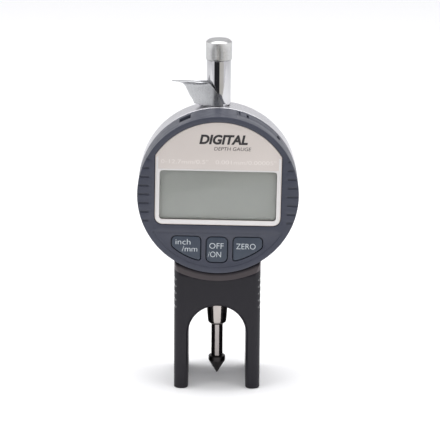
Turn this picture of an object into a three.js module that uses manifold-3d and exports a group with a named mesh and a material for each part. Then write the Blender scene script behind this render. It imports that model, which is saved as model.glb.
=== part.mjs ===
// A digital dial indicator held in a bridge base, as an assembly of separate solids.
// Millimetres, +Z up. The floor is z = 0, the display faces -Y, and the origin is the middle of
// the footprint's bounding box.
import * as THREE from "three";
import { mergeVertices } from "three/addons/utils/BufferGeometryUtils.js";
import Module from "manifold-3d";

const wasm = await Module();
wasm.setup();

// ---- driving dimensions -------------------------------------------------------------------

const PLUNGER_Y = 2.55; // the plunger axis behind the middle of the bounding box
const DIAL_Z = 78.1; // height of the dial's centre
const DIAL_R = 30; // outside radius of the dial
const FACE_TURN = 0.8; // degrees that the turnable face stands clockwise of upright
const GAP = 0.3; // clearance between fixed neighbours

const BASE = { width: 32.7, depth: 29.6, top: 52, round: 2.5, saddleR: 31.25, saddleBevel: { wide: 3.8, deep: 1.4 } };
const ARCH = { radius: 10.9, springZ: 21.6 };
const GRIP = { count: 5, pitch: 2.7, topZ: 43.2, mouth: 1.4, floor: 0.3, depth: 0.9 };
const CLAMP_Z = 40;

// Depths are counted from the plunger axis, negative towards the display.
const CASE = { front: -6.3, back: 5.4, innerR: 27, web: -5.1, webHoleR: 9, seat: 3.7, seatR: 28.2 };
const FACE = { front: -21.4, back: -6.6, wall: -18.9, innerR: 27.8, lip: -7.6, lipR: 25.5 };
const BOARD = { front: -17, back: -16.2, radius: 26.5 };
const RING = { front: -8.8, back: -7.9, innerR: 21, outerR: 27.2, screwR: 23 };

const PANEL = { halfWidth: 23.4, topR: 27.8, bottom: -11.35, corner: 2, front: -21.2, back: -20.6 };
const WINDOW = { halfWidth: 21.7, top: 9.35, bottom: -9.45, corner: 0.8 };
const KEY_FIELD_R = 26; // the outer keys' lower corners lie on this circle
const KEYS = { front: -21.3, back: -18.6, flange: 0.8, flangeBack: -18.3, corner: 1.3, slit: 0.35 };
const FACE_RIBS = { count: 8, pitch: 3.35, lowest: -10.05, width: 0.8, depth: 0.5, inner: 25.7 };

const DRAWER = { angle: 29.9, halfWidth: 8.9, innerR: 14, front: -14.6, back: -9.1 };
const CELL = { radius: 5.8, thick: 5.3, centreR: 21.2 };
const PORT = { angle: -25.4, halfWidth: 2.1, front: -14.9, back: -10.1 };

const SPINDLE = { radius: 2.2, bottom: 8.7, top: 117 };
const TIP = { radius: 3.2, top: 8.6, shoulder: 6.7, point: 1.5, stubR: 1.2, stubLength: 4 };
const STEM = { radius: 4.05, top: 50.6, taperZ: 29.5, noseR: 3.6, noseZ: 23.2, endR: 2.6, end: 21.6 };
const TUBE = { radius: 4.55, bore: 3.4, bottom: 108.4, top: 125, neckR: 3.9, neckBottom: 105.4 };
const CAP = { radius: 4.85, rootR: 4.6, teeth: 30, bottom: 125.3, top: 132.8, chamfer: 0.8 };
const CARRIER = { bottom: 66, top: 82, armBottom: 77, left: -10.2, right: 9.4, depth: [-2.6, 3.2] };
const GUIDE_ROD_X = -8;
const SPRING = { x: 7.5, bottom: 55.6, top: 76.6, coilR: 1.6, wireR: 0.25, turns: 7 };

const LEVER = { pivotX: -6.8, pivotZ: 110.5, hugR: 5.5, sheet: 0.4, bottom: 108.45, flare: 24 };
const LEVER_ENDS = { rightLow: 1.9, rightHigh: -4, leftLow: -9.4, leftHigh: -13.7, tip: -17.6 };
const LEVER_NOSE = { low: 2.2, high: 0.9 }; // outside radius of the closed end
const LEVER_RIM = [
  [0, 117.3], // front right edge
  [0.1, 117],
  [0.16, 116.2],
  [0.25, 116.6],
  [0.5, 116.9], // thumb tip
  [0.7, 116.5],
  [1, 116], // back right edge
];

const ROUND_LARGE = 48; // facets round the dial
const ROUND_MEDIUM = 20; // facets round the spindle, stem and tube
const ROUND_SMALL = 10; // facets round screws and pins

// ---- turning geometries into solids ------------------------------------------------------

const degrees = THREE.MathUtils.degToRad;

// The closed solid of a three.js geometry.
function solidOf(geometry) {
  const bare = geometry.index ? geometry.toNonIndexed() : geometry.clone();
  bare.deleteAttribute("normal");
  bare.deleteAttribute("uv");
  const merged = mergeVertices(bare, 1e-4);
  return new wasm.Manifold(
    new wasm.Mesh({
      numProp: 3,
      vertProperties: merged.attributes.position.array,
      triVerts: new Uint32Array(merged.index.array),
    }),
  );
}

// The geometry of a solid, with flat shading.
function geometryOf(solid) {
  const mesh = solid.getMesh();
  const geometry = new THREE.BufferGeometry();
  geometry.setAttribute("position", new THREE.BufferAttribute(mesh.vertProperties, 3));
  geometry.setIndex(new THREE.BufferAttribute(mesh.triVerts, 1));
  geometry.computeVertexNormals();
  return geometry;
}

// A profile of [radius, height] points turned about Z, listed bottom, outside, top.
function turnedZ(profile, segments = ROUND_MEDIUM) {
  const points = profile.map(([r, z]) => new THREE.Vector2(r, z));
  return solidOf(new THREE.LatheGeometry(points, segments).rotateX(Math.PI / 2));
}

// A profile of [radius, depth] points turned about Y, listed front, outside, back.
function turnedY(profile, segments = ROUND_LARGE) {
  const points = profile.map(([r, y]) => new THREE.Vector2(r, y));
  return solidOf(new THREE.LatheGeometry(points, segments));
}

function cylinderZ(radius, low, high, segments = ROUND_MEDIUM) {
  return turnedZ([[0, low], [radius, low], [radius, high], [0, high]], segments);
}

function cylinderY(radius, front, back, segments = ROUND_SMALL) {
  return turnedY([[0, front], [radius, front], [radius, back], [0, back]], segments);
}

// A shape drawn in X and Z, extruded along Y.
function prismY(shape, front, back, curveSegments = 8) {
  const options = { depth: back - front, bevelEnabled: false, curveSegments };
  return solidOf(new THREE.ExtrudeGeometry(shape, options).rotateX(Math.PI / 2).translate(0, back, 0));
}

// A shape drawn in X and Y, extruded along Z.
function prismZ(shape, low, high, curveSegments = 8) {
  const options = { depth: high - low, bevelEnabled: false, curveSegments };
  return solidOf(new THREE.ExtrudeGeometry(shape, options).translate(0, 0, low));
}

function block(x, y, z) {
  const box = new THREE.BoxGeometry(x[1] - x[0], y[1] - y[0], z[1] - z[0]);
  return solidOf(box.translate((x[0] + x[1]) / 2, (y[0] + y[1]) / 2, (z[0] + z[1]) / 2));
}

// Arcs join themselves with straight lines, so only the four corners are drawn.
function roundedRectangle(left, right, bottom, top, radius) {
  const shape = new THREE.Shape();
  const quarter = Math.PI / 2;
  shape.absarc(right - radius, bottom + radius, radius, -quarter, 0, false);
  shape.absarc(right - radius, top - radius, radius, 0, quarter, false);
  shape.absarc(left + radius, top - radius, radius, quarter, 2 * quarter, false);
  shape.absarc(left + radius, bottom + radius, radius, 2 * quarter, 3 * quarter, false);
  return shape;
}

// A solid drawn with its radial direction along +Z, turned to an angle right of the dial's top.
function atDialAngle(solid, angle) {
  return solid.rotate([0, angle, 0]);
}

// A place on a circle about the dial's centre, at an angle left of +X.
function onDial(radius, angle) {
  return [radius * Math.cos(degrees(angle)), 0, radius * Math.sin(degrees(angle))];
}

// ---- materials ---------------------------------------------------------------------------

const MATERIALS = {
  base: { color: 0x37363b, roughness: 0.5, metalness: 0.1 },
  housing: { color: 0x4b4d59, roughness: 0.45, metalness: 0 },
  key: { color: 0x576069, roughness: 0.4, metalness: 0 },
  panel: { color: 0xcac1bc, roughness: 0.35, metalness: 0.3 },
  lcd: { color: 0x9d9e9a, roughness: 0.3, metalness: 0 },
  glass: { color: 0xe8eeee, roughness: 0.05, metalness: 0, transparent: true, opacity: 0.25 },
  caseMetal: { color: 0xcecdd2, roughness: 0.35, metalness: 0.9 },
  chrome: { color: 0xd8d8dc, roughness: 0.12, metalness: 1 },
  sheet: { color: 0xc0c1c3, roughness: 0.3, metalness: 1 },
  darkSteel: { color: 0x2c2b2f, roughness: 0.4, metalness: 0.7 },
  brass: { color: 0xb59a55, roughness: 0.35, metalness: 0.9 },
  board: { color: 0x23613c, roughness: 0.6, metalness: 0 },
  rubber: { color: 0x8a8a88, roughness: 0.8, metalness: 0 },
  darkPlastic: { color: 0x2e3036, roughness: 0.5, metalness: 0 },
};

for (const [name, settings] of Object.entries(MATERIALS)) {
  MATERIALS[name] = new THREE.MeshStandardMaterial(settings);
}

function addPart(group, name, solid, material, place = [0, 0, 0]) {
  const mesh = new THREE.Mesh(geometryOf(solid), MATERIALS[material]);
  mesh.name = name;
  mesh.position.set(...place);
  group.add(mesh);
  return mesh;
}

// ---- screws ------------------------------------------------------------------------------

// A cross-head screw along Y, with its head's outer face at y = 0 and its shank towards -Y.
function screw(headR, headHeight, shankR, shankLength) {
  const profile = [[0, -headHeight - shankLength], [shankR, -headHeight - shankLength]];
  profile.push([shankR, -headHeight], [headR, -headHeight], [headR, -0.2], [headR - 0.2, 0], [0, 0]);
  const slot = headR * 0.6;
  const cut = block([-slot, slot], [-0.35, 1], [-0.18, 0.18]);
  const crossCut = block([-0.18, 0.18], [-0.35, 1], [-slot, slot]);
  return turnedY(profile, ROUND_SMALL).subtract(cut).subtract(crossCut);
}

// ---- bridge base -------------------------------------------------------------------------

// The front outline runs below the floor and above the saddle, where flat and round cuts end it.
function bridgeOutline() {
  const half = BASE.width / 2;
  const below = -5;
  const shape = new THREE.Shape();
  shape.moveTo(-half, below);
  shape.lineTo(-ARCH.radius, below);
  shape.absarc(0, ARCH.springZ, ARCH.radius, Math.PI, 0, true);
  shape.lineTo(ARCH.radius, below);
  shape.lineTo(half, below);
  shape.lineTo(half, BASE.top + 5);
  shape.lineTo(-half, BASE.top + 5);
  return shape;
}

// A block with every front and back edge rounded, which makes the legs fully round at both ends.
function bridgeBlank() {
  const options = {
    depth: BASE.depth - 2 * BASE.round,
    bevelEnabled: true,
    bevelThickness: BASE.round,
    bevelSize: BASE.round,
    bevelOffset: -BASE.round,
    bevelSegments: 3,
    curveSegments: 12,
  };
  const straight = BASE.depth / 2 - BASE.round;
  const geometry = new THREE.ExtrudeGeometry(bridgeOutline(), options);
  return solidOf(geometry.rotateX(Math.PI / 2).translate(0, straight, 0));
}

// The cutter of the concave saddle, with a shallow bevel at the front and back faces.
function saddleCutter() {
  const { wide, deep } = BASE.saddleBevel;
  const face = BASE.depth / 2;
  const inner = face - deep;
  const outerR = BASE.saddleR + wide;
  const profile = [[0, -face - deep], [outerR + wide, -face - deep], [BASE.saddleR, -inner]];
  profile.push([BASE.saddleR, inner], [outerR + wide, face + deep], [0, face + deep]);
  return turnedY(profile).translate([0, 0, DIAL_Z]);
}

// One finger groove, cut straight across a side of the base and narrowing to its floor.
function gripCutter(side, z) {
  const face = side * (BASE.width / 2);
  const floor = face - side * GRIP.depth;
  const shape = new THREE.Shape();
  shape.moveTo(face + side, z - GRIP.mouth / 2 - 0.6);
  shape.lineTo(face, z - GRIP.mouth / 2);
  shape.lineTo(floor, z - GRIP.floor / 2);
  shape.lineTo(floor, z + GRIP.floor / 2);
  shape.lineTo(face, z + GRIP.mouth / 2);
  shape.lineTo(face + side, z + GRIP.mouth / 2 + 0.6);
  return prismY(shape, -BASE.depth, BASE.depth);
}

function bridgeBase() {
  let solid = bridgeBlank();
  solid = solid.subtract(block([-50, 50], [-50, 50], [-20, 0]));
  solid = solid.subtract(saddleCutter());
  solid = solid.subtract(cylinderZ(STEM.radius + GAP, 0, BASE.top));
  const holeBack = BASE.depth / 2 + 1;
  solid = solid.subtract(cylinderY(2.3, 0, holeBack, ROUND_MEDIUM).translate([0, 0, CLAMP_Z]));
  for (let i = 0; i < GRIP.count; i++) {
    const z = GRIP.topZ - i * GRIP.pitch;
    solid = solid.subtract(gripCutter(1, z)).subtract(gripCutter(-1, z));
  }
  return solid;
}

// A headless clamp screw with a square socket, and the brass pad that it presses on the stem.
function clampScrew() {
  const profile = [[0, 6.4], [1.6, 6.4], [2, 6.8], [2, 12.8], [1.7, 13.1], [0, 13.1]];
  return turnedY(profile, ROUND_MEDIUM).subtract(block([-0.9, 0.9], [11, 14], [-0.9, 0.9]));
}

function clampPad() {
  return cylinderY(1.9, STEM.radius + GAP, 6.1, ROUND_MEDIUM);
}

// ---- rear case ---------------------------------------------------------------------------

const COVER_SCREW_R = 23.5;
const COVER_SCREW_ANGLES = [45, 135, 225, 315];
const RING_SCREW_ANGLES = [90, 210, 330];

// The metal case: a rim with a web at its front, four bosses for the back cover's screws, and
// holes along the plunger axis for the stem and the tube.
function caseBody() {
  const edge = 0.4;
  const profile = [
    [CASE.webHoleR, CASE.front],
    [DIAL_R - edge, CASE.front],
    [DIAL_R, CASE.front + edge],
    [DIAL_R, CASE.back - edge],
    [DIAL_R - edge, CASE.back],
    [CASE.seatR, CASE.back],
    [CASE.seatR, CASE.seat],
    [CASE.innerR, CASE.seat],
    [CASE.innerR, CASE.web],
    [CASE.webHoleR, CASE.web],
    [CASE.webHoleR, CASE.front],
  ];
  let solid = turnedY(profile);
  for (const angle of COVER_SCREW_ANGLES) {
    const place = onDial(COVER_SCREW_R, angle);
    solid = solid.add(cylinderY(2.4, CASE.web - 0.5, CASE.seat, ROUND_SMALL).translate(place));
    solid = solid.subtract(cylinderY(1, -3, CASE.seat + 1, ROUND_SMALL).translate(place));
  }
  for (const angle of RING_SCREW_ANGLES) {
    const place = onDial(RING.screwR, angle);
    solid = solid.subtract(cylinderY(1, CASE.front - 1, CASE.web + 1).translate(place));
  }
  solid = solid.subtract(cylinderZ(STEM.radius + GAP, -DIAL_R - 2, -CASE.innerR + 3));
  return solid.subtract(cylinderZ(TUBE.neckR + GAP, CASE.innerR - 3, DIAL_R + 2));
}

function backCover() {
  const front = CASE.seat + GAP;
  const radius = CASE.seatR - GAP;
  const back = CASE.back;
  let solid = turnedY([[0, front], [radius, front], [radius, back - 0.3], [radius - 0.3, back], [0, back]]);
  for (const angle of COVER_SCREW_ANGLES) {
    const place = onDial(COVER_SCREW_R, angle);
    solid = solid.subtract(cylinderY(1, front - 1, back + 1).translate(place));
    solid = solid.subtract(cylinderY(1.9, back - 0.9, back + 1).translate(place));
  }
  return solid;
}

function retainingRing() {
  const { front, back, innerR, outerR } = RING;
  let solid = turnedY([[innerR, front], [outerR, front], [outerR, back], [innerR, back], [innerR, front]]);
  for (const angle of RING_SCREW_ANGLES) {
    const place = onDial(RING.screwR, angle);
    solid = solid.add(cylinderY(1.9, back - 0.4, CASE.front - GAP).translate(place));
    solid = solid.subtract(cylinderY(1, front - 1, CASE.front + 1).translate(place));
  }
  return solid;
}

// ---- stem, tube and cap ------------------------------------------------------------------

function stem() {
  const wideBore = 3.3;
  const noseBore = SPINDLE.radius + 0.15;
  return turnedZ([
    [noseBore, STEM.end],
    [STEM.endR, STEM.end],
    [STEM.noseR - 0.1, STEM.noseZ - 0.9],
    [STEM.noseR, STEM.noseZ],
    [STEM.radius, STEM.taperZ],
    [STEM.radius, STEM.top],
    [wideBore, STEM.top],
    [wideBore, 26],
    [noseBore, 25],
    [noseBore, STEM.end],
  ]);
}

function bush(low, high, outerR) {
  const inner = SPINDLE.radius + 0.15;
  return turnedZ([[inner, low], [outerR, low], [outerR, high], [inner, high], [inner, low]]);
}

function topTube() {
  const { radius, bore, bottom, top, neckR, neckBottom } = TUBE;
  const profile = [[bore, neckBottom], [neckR, neckBottom], [neckR, bottom], [radius, bottom]];
  profile.push([radius, top - 0.2], [radius - 0.2, top], [bore, top], [bore, neckBottom]);
  return turnedZ(profile);
}

// The cap's straight knurl is an outline that steps between two radii.
function knurlOutline() {
  const shape = new THREE.Shape();
  for (let i = 0; i < 2 * CAP.teeth; i++) {
    const angle = (i * Math.PI) / CAP.teeth;
    const radius = i % 2 ? CAP.radius : CAP.rootR;
    const point = [radius * Math.cos(angle), radius * Math.sin(angle)];
    if (i === 0) shape.moveTo(...point);
    else shape.lineTo(...point);
  }
  return shape;
}

function knurledCap() {
  const { radius, bottom, top, chamfer } = CAP;
  const envelope = turnedZ([
    [0, bottom],
    [radius - 0.3, bottom],
    [radius + 0.1, bottom + 0.4],
    [radius + 0.1, top - chamfer],
    [radius - chamfer, top],
    [0, top],
  ]);
  const knurled = prismZ(knurlOutline(), bottom - 1, top + 1);
  return knurled.intersect(envelope).subtract(cylinderZ(TUBE.bore, bottom - 1, top - 1.6));
}

// ---- plunger -----------------------------------------------------------------------------

function spindle() {
  const { radius, bottom, top } = SPINDLE;
  const edge = 0.3;
  const profile = [[0, bottom], [radius - 0.1, bottom], [radius, bottom + 0.1]];
  profile.push([radius, top - edge], [radius - edge, top], [0, top]);
  const socket = cylinderZ(TIP.stubR + GAP, bottom - 1, bottom + TIP.stubLength + 1);
  return turnedZ(profile).subtract(socket);
}

function contactPoint() {
  return turnedZ([
    [0, TIP.point],
    [0.15, TIP.point + 0.06],
    [TIP.radius - 0.1, TIP.shoulder - 0.15],
    [TIP.radius, TIP.shoulder + 0.1],
    [TIP.radius, TIP.top - 0.3],
    [TIP.radius - 0.3, TIP.top],
    [TIP.stubR, TIP.top],
    [TIP.stubR, TIP.top + TIP.stubLength],
    [0, TIP.top + TIP.stubLength],
  ]);
}

// The carrier is clamped on the spindle, slides along the guide rod at its left, and has an arm
// over the spring at its right.
function scaleCarrier() {
  const { bottom, top, armBottom, left, right, depth } = CARRIER;
  let solid = block([left, 5], depth, [bottom, top]).add(block([4, right], depth, [armBottom, top]));
  solid = solid.subtract(cylinderZ(SPINDLE.radius + 0.1, bottom - 1, top + 1));
  return solid.subtract(cylinderZ(1.3, bottom - 1, top + 1, ROUND_SMALL).translate([GUIDE_ROD_X, 0, 0]));
}

function liftingCollar() {
  const inner = SPINDLE.radius + 0.15;
  return turnedZ([[inner, 110.2], [3.1, 110.2], [3.1, 112.2], [inner, 112.2], [inner, 110.2]]);
}

class CoilCurve extends THREE.Curve {
  getPoint(t, target = new THREE.Vector3()) {
    const angle = t * SPRING.turns * 2 * Math.PI;
    const z = THREE.MathUtils.lerp(SPRING.bottom + SPRING.wireR, SPRING.top - SPRING.wireR, t);
    return target.set(SPRING.coilR * Math.cos(angle), SPRING.coilR * Math.sin(angle), z);
  }
}

function returnSpring() {
  const wire = new THREE.Shape();
  wire.absarc(0, 0, SPRING.wireR, 0, 2 * Math.PI, false);
  const options = {
    steps: SPRING.turns * 7,
    extrudePath: new CoilCurve(),
    bevelEnabled: false,
    curveSegments: 4,
  };
  return solidOf(new THREE.ExtrudeGeometry(wire, options));
}

// ---- lift lever --------------------------------------------------------------------------

// The height of the lever's rim: along runs 0 to 1 from the front right edge, round the thumb
// tip, to the back right edge. The front rim dips beside the tip.
function leverRim(along) {
  const last = LEVER_RIM.findIndex(([place]) => place >= along) || 1;
  const [from, low] = LEVER_RIM[last - 1];
  const [to, high] = LEVER_RIM[last];
  return THREE.MathUtils.mapLinear(along, from, to, low, high);
}

// The plan of the front half of the lever at a height from 0 to 1, share 0 to 1 running from its
// right edge to the nose: round the tube, straight along the side, then round the nose.
function leverPlan(share, height) {
  const { lerp } = THREE.MathUtils;
  const { rightLow, rightHigh, leftLow, leftHigh, tip } = LEVER_ENDS;
  const left = lerp(leftLow, leftHigh, height) + (tip - leftHigh) * Math.pow(height, LEVER.flare);
  const nose = lerp(LEVER_NOSE.low, LEVER_NOSE.high, height);
  const slope = Math.asin((LEVER.hugR - nose) / (-left - nose));
  const noseX = left + nose;
  if (share > 0.7) {
    const angle = lerp(slope, Math.PI / 2, (share - 0.7) / 0.3);
    return [noseX - nose * Math.sin(angle), nose * Math.cos(angle)];
  }
  const hugEnd = -LEVER.hugR * Math.sin(slope);
  const lineEnd = noseX - nose * Math.sin(slope);
  const x = lerp(lerp(rightLow, rightHigh, height), lineEnd, share / 0.7);
  if (x > hugEnd) return [x, Math.sqrt(LEVER.hugR * LEVER.hugR - x * x)];
  return [x, lerp(LEVER.hugR, nose, (x - hugEnd) / (lineEnd - hugEnd)) * Math.cos(slope)];
}

// A point of the sheet's outer surface. The rows lie closer together near the rim.
function leverPoint(along, row) {
  const height = 1 - Math.pow(1 - row, 2);
  const [x, y] = leverPlan(1 - Math.abs(along - 0.5) * 2, height);
  const z = THREE.MathUtils.lerp(LEVER.bottom, leverRim(along), height);
  return [x, along > 0.5 ? y : -y, z];
}

// The same point moved through the sheet's thickness.
function leverInnerPoint(along, row) {
  const step = 0.004;
  const { clamp } = THREE.MathUtils;
  const at = (a, b) => new THREE.Vector3(...leverPoint(clamp(a, 0, 1), clamp(b, 0, 1)));
  const around = at(along + step, row).sub(at(along - step, row));
  const up = at(along, row + step).sub(at(along, row - step));
  const inwards = around.cross(up).normalize().multiplyScalar(LEVER.sheet);
  return at(along, row).add(inwards).toArray();
}

// A closed sheet between two grids of points, for the outer and the inner surface.
function thickSheet(outer, inner, columns, rows) {
  const positions = [];
  const index = [];
  const across = columns + 1;
  const layer = across * (rows + 1);
  for (const surface of [outer, inner]) {
    for (let j = 0; j <= rows; j++) {
      for (let i = 0; i <= columns; i++) positions.push(...surface(i / columns, j / rows));
    }
  }
  const quad = (a, b, c, d) => index.push(a, b, c, a, c, d);
  for (let j = 0; j < rows; j++) {
    for (let i = 0; i < columns; i++) {
      const a = j * across + i;
      const b = a + across;
      quad(a, b, b + 1, a + 1);
      quad(layer + a, layer + a + 1, layer + b + 1, layer + b);
    }
  }
  for (let i = 0; i < columns; i++) {
    const top = rows * across + i;
    quad(i, i + 1, layer + i + 1, layer + i);
    quad(top, layer + top, layer + top + 1, top + 1);
  }
  for (let j = 0; j < rows; j++) {
    const left = j * across;
    const right = left + columns;
    quad(left, layer + left, layer + left + across, left + across);
    quad(right, right + across, layer + right + across, layer + right);
  }
  const geometry = new THREE.BufferGeometry();
  geometry.setAttribute("position", new THREE.Float32BufferAttribute(positions, 3));
  geometry.setIndex(index);
  return solidOf(geometry);
}

function liftLever() {
  const sheet = thickSheet(leverPoint, leverInnerPoint, 32, 9);
  // The closed end is open below the pivot, so that it swings past the bracket.
  const webGap = block([-30, LEVER.pivotX + 1], [-1.1, 1.1], [100, LEVER.pivotZ + 0.3]);
  const pinHole = cylinderY(0.7, -8, 8).translate([LEVER.pivotX, 0, LEVER.pivotZ]);
  return sheet.subtract(webGap).subtract(pinHole);
}

function leverBracket() {
  const { pivotX, pivotZ } = LEVER;
  const round = 1.35;
  const shoulder = Math.acos(0.9 / round);
  const shape = new THREE.Shape();
  shape.moveTo(pivotX - 0.9, 105);
  shape.lineTo(pivotX + 0.9, 105);
  shape.absarc(pivotX, pivotZ, round, -shoulder, Math.PI + shoulder, false);
  const lug = prismY(shape, -0.8, 0.8, 6);
  const clearOfCase = cylinderY(DIAL_R + GAP, -10, 10, ROUND_LARGE).translate([0, 0, DIAL_Z]);
  const pinHole = cylinderY(0.7, -8, 8).translate([pivotX, 0, pivotZ]);
  return lug.subtract(clearOfCase).subtract(pinHole);
}

// ---- face --------------------------------------------------------------------------------

// The panel's outline about the dial's centre: a round top, straight sides and a flat bottom.
function panelOutline(grow) {
  const half = PANEL.halfWidth + grow;
  const radius = PANEL.topR + grow;
  const bottom = PANEL.bottom - grow;
  const start = Math.acos(half / radius);
  const shape = new THREE.Shape();
  shape.absarc(half - PANEL.corner, bottom + PANEL.corner, PANEL.corner, -Math.PI / 2, 0, false);
  shape.absarc(0, 0, radius, start, Math.PI - start, false);
  shape.absarc(-half + PANEL.corner, bottom + PANEL.corner, PANEL.corner, Math.PI, 1.5 * Math.PI, false);
  return shape;
}

function windowOutline(grow) {
  const { halfWidth, top, bottom, corner } = WINDOW;
  return roundedRectangle(-halfWidth - grow, halfWidth + grow, bottom - grow, top + grow, corner);
}

// The three keys, about the dial's centre. The outer two are cut by the key field's circle.
const KEY_BOXES = {
  unit_key: [-16.9, -6.1, -24.85, -15.95],
  power_key: [-3.9, 3.9, -25.75, -16.05],
  zero_key: [6.1, 16.9, -24.85, -15.95],
};

function keyPrism(name, grow, front, back) {
  const [left, right, bottom, top] = KEY_BOXES[name];
  const radius = KEYS.corner + Math.max(grow, 0);
  const shape = roundedRectangle(left - grow, right + grow, bottom - grow, top + grow, radius);
  const field = cylinderY(KEY_FIELD_R + grow, front - 1, back + 1, ROUND_LARGE);
  return prismY(shape, front, back, 3).intersect(field);
}

function key(name) {
  const cap = keyPrism(name, 0, KEYS.front, KEYS.back + 0.1);
  return cap.add(keyPrism(name, KEYS.flange, KEYS.back, KEYS.flangeBack));
}

function drawerSpace(grow) {
  const half = DRAWER.halfWidth + grow;
  const depth = [DRAWER.front - grow, DRAWER.back + grow];
  return block([-half, half], depth, [DRAWER.innerR - grow, DIAL_R + 5]);
}

// The housing's grip grooves, on both sides of its face and round its rim.
function faceRibCutters() {
  const { count, pitch, lowest, width, depth, inner } = FACE_RIBS;
  let cutters = null;
  for (let i = 0; i < count; i++) {
    const z = lowest + i * pitch;
    for (const side of [-1, 1]) {
      const reach = side < 0 ? [-DIAL_R - 1, -inner] : [inner, DIAL_R + 1];
      const front = [FACE.front - 1, FACE.front + depth];
      const bar = block(reach, front, [z - width / 2, z + width / 2]);
      cutters = cutters ? cutters.add(bar) : bar;
    }
  }
  return cutters;
}

const BOARD_POSTS = [[0, 0, 24], [-20, 0, -14], [20, 0, -14]];

function frontHousing() {
  const edge = 0.6;
  let solid = turnedY([
    [0, FACE.front],
    [DIAL_R - edge, FACE.front],
    [DIAL_R, FACE.front + edge],
    [DIAL_R, FACE.back],
    [FACE.lipR, FACE.back],
    [FACE.lipR, FACE.lip],
    [FACE.innerR, FACE.lip],
    [FACE.innerR, FACE.wall],
    [0, FACE.wall],
  ]);
  for (const place of BOARD_POSTS) {
    const post = cylinderY(1.7, FACE.wall - 0.4, BOARD.front - GAP).translate(place);
    const hole = cylinderY(1, FACE.wall - 0.2, BOARD.front).translate(place);
    solid = solid.add(post).subtract(hole);
  }
  solid = solid.subtract(prismY(panelOutline(GAP), FACE.front - 1, PANEL.back + GAP, 16));
  solid = solid.subtract(prismY(windowOutline(GAP), FACE.front - 1, FACE.wall + 1, 3));
  for (const name of Object.keys(KEY_BOXES)) {
    solid = solid.subtract(keyPrism(name, KEYS.slit, FACE.front - 1, FACE.wall + 1));
  }
  solid = solid.subtract(faceRibCutters());
  solid = solid.subtract(atDialAngle(drawerSpace(GAP), DRAWER.angle));
  const portDepth = [PORT.front, PORT.back];
  const port = block([-PORT.halfWidth, PORT.halfWidth], portDepth, [FACE.innerR - 1, DIAL_R + 1]);
  return solid.subtract(atDialAngle(port, PORT.angle));
}

function displayPanel() {
  const plate = prismY(panelOutline(0), PANEL.front, PANEL.back, 16);
  return plate.subtract(prismY(windowOutline(0), PANEL.front - 1, PANEL.back + 1, 3));
}

function windowPlate(front, back) {
  return prismY(windowOutline(-0.1), front, back, 3);
}

function mainBoard() {
  let solid = cylinderY(BOARD.radius, BOARD.front, BOARD.back, ROUND_LARGE);
  for (const place of BOARD_POSTS) {
    solid = solid.subtract(cylinderY(1, BOARD.front - 1, BOARD.back + 1).translate(place));
  }
  return solid;
}

function keypadMembrane() {
  const shape = roundedRectangle(-18, 18, -27, -15.4, 1.5);
  const round = cylinderY(FACE.innerR - 0.8, -19, -16, ROUND_LARGE);
  return prismY(shape, -17.65, -17.4, 3).intersect(round);
}

function keyDome() {
  return turnedY([[0, -17.3], [1.4, -17.28], [2.5, -17.18], [2.5, -17.1], [0, -17.1]], ROUND_SMALL);
}

function portSocket() {
  const half = PORT.halfWidth + 1;
  const shell = block([-half, half], [-15.9, -9.6], [20.5, FACE.innerR - 1.1]);
  const mouth = block([-PORT.halfWidth + 0.3, PORT.halfWidth - 0.3], [-14, -10.6], [23, 30]);
  return shell.subtract(mouth);
}

// The drawer: a frame round the coin cell whose outer end continues the housing's rim.
function batteryDrawer() {
  const outside = cylinderY(DIAL_R, -16, -8, ROUND_LARGE);
  const body = atDialAngle(drawerSpace(0), DRAWER.angle).intersect(outside);
  const pocket = cylinderY(CELL.radius + GAP, -16, -8, ROUND_MEDIUM).translate([0, 0, CELL.centreR]);
  const nailSlot = block([6.2, 7.2], [-13.4, -10.4], [DIAL_R - 2.5, DIAL_R + 1]);
  return body
    .subtract(atDialAngle(pocket, DRAWER.angle))
    .subtract(atDialAngle(nailSlot, DRAWER.angle));
}

function coinCell() {
  const front = DRAWER.front + 0.1;
  const back = front + CELL.thick;
  const { radius } = CELL;
  const profile = [[0, front], [radius - 0.8, front], [radius - 0.8, front + 0.5]];
  profile.push([radius - 0.3, front + 0.5], [radius, front + 0.9], [radius, back], [0, back]);
  return atDialAngle(turnedY(profile, ROUND_MEDIUM).translate([0, 0, CELL.centreR]), DRAWER.angle);
}

// ---- the assembly ------------------------------------------------------------------------

function addBase(group) {
  addPart(group, "bridge_base", bridgeBase(), "base");
  addPart(group, "clamp_screw", clampScrew(), "darkSteel", [0, 0, CLAMP_Z]);
  addPart(group, "clamp_pad", clampPad(), "brass", [0, 0, CLAMP_Z]);
}

function addCase(group) {
  const dial = new THREE.Group();
  dial.position.z = DIAL_Z;
  group.add(dial);
  addPart(dial, "case_body", caseBody(), "caseMetal");
  addPart(dial, "back_cover", backCover(), "caseMetal");
  COVER_SCREW_ANGLES.forEach((angle, i) => {
    const place = onDial(COVER_SCREW_R, angle);
    place[1] = CASE.back - 0.1;
    addPart(dial, `back_cover_screw_${i + 1}`, screw(1.6, 0.5, 0.7, 5), "chrome", place);
  });
  addPart(dial, "retaining_ring", retainingRing(), "sheet");
  RING_SCREW_ANGLES.forEach((angle, i) => {
    const place = onDial(RING.screwR, angle);
    place[1] = CASE.web + GAP + 0.7;
    addPart(dial, `ring_screw_${i + 1}`, screw(1.4, 0.7, 0.7, 3.2), "chrome", place);
  });
  addPart(dial, "sensor_board", block([-6, 6], [-4.8, -3.8], [-18, 20]), "board");
}

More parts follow.
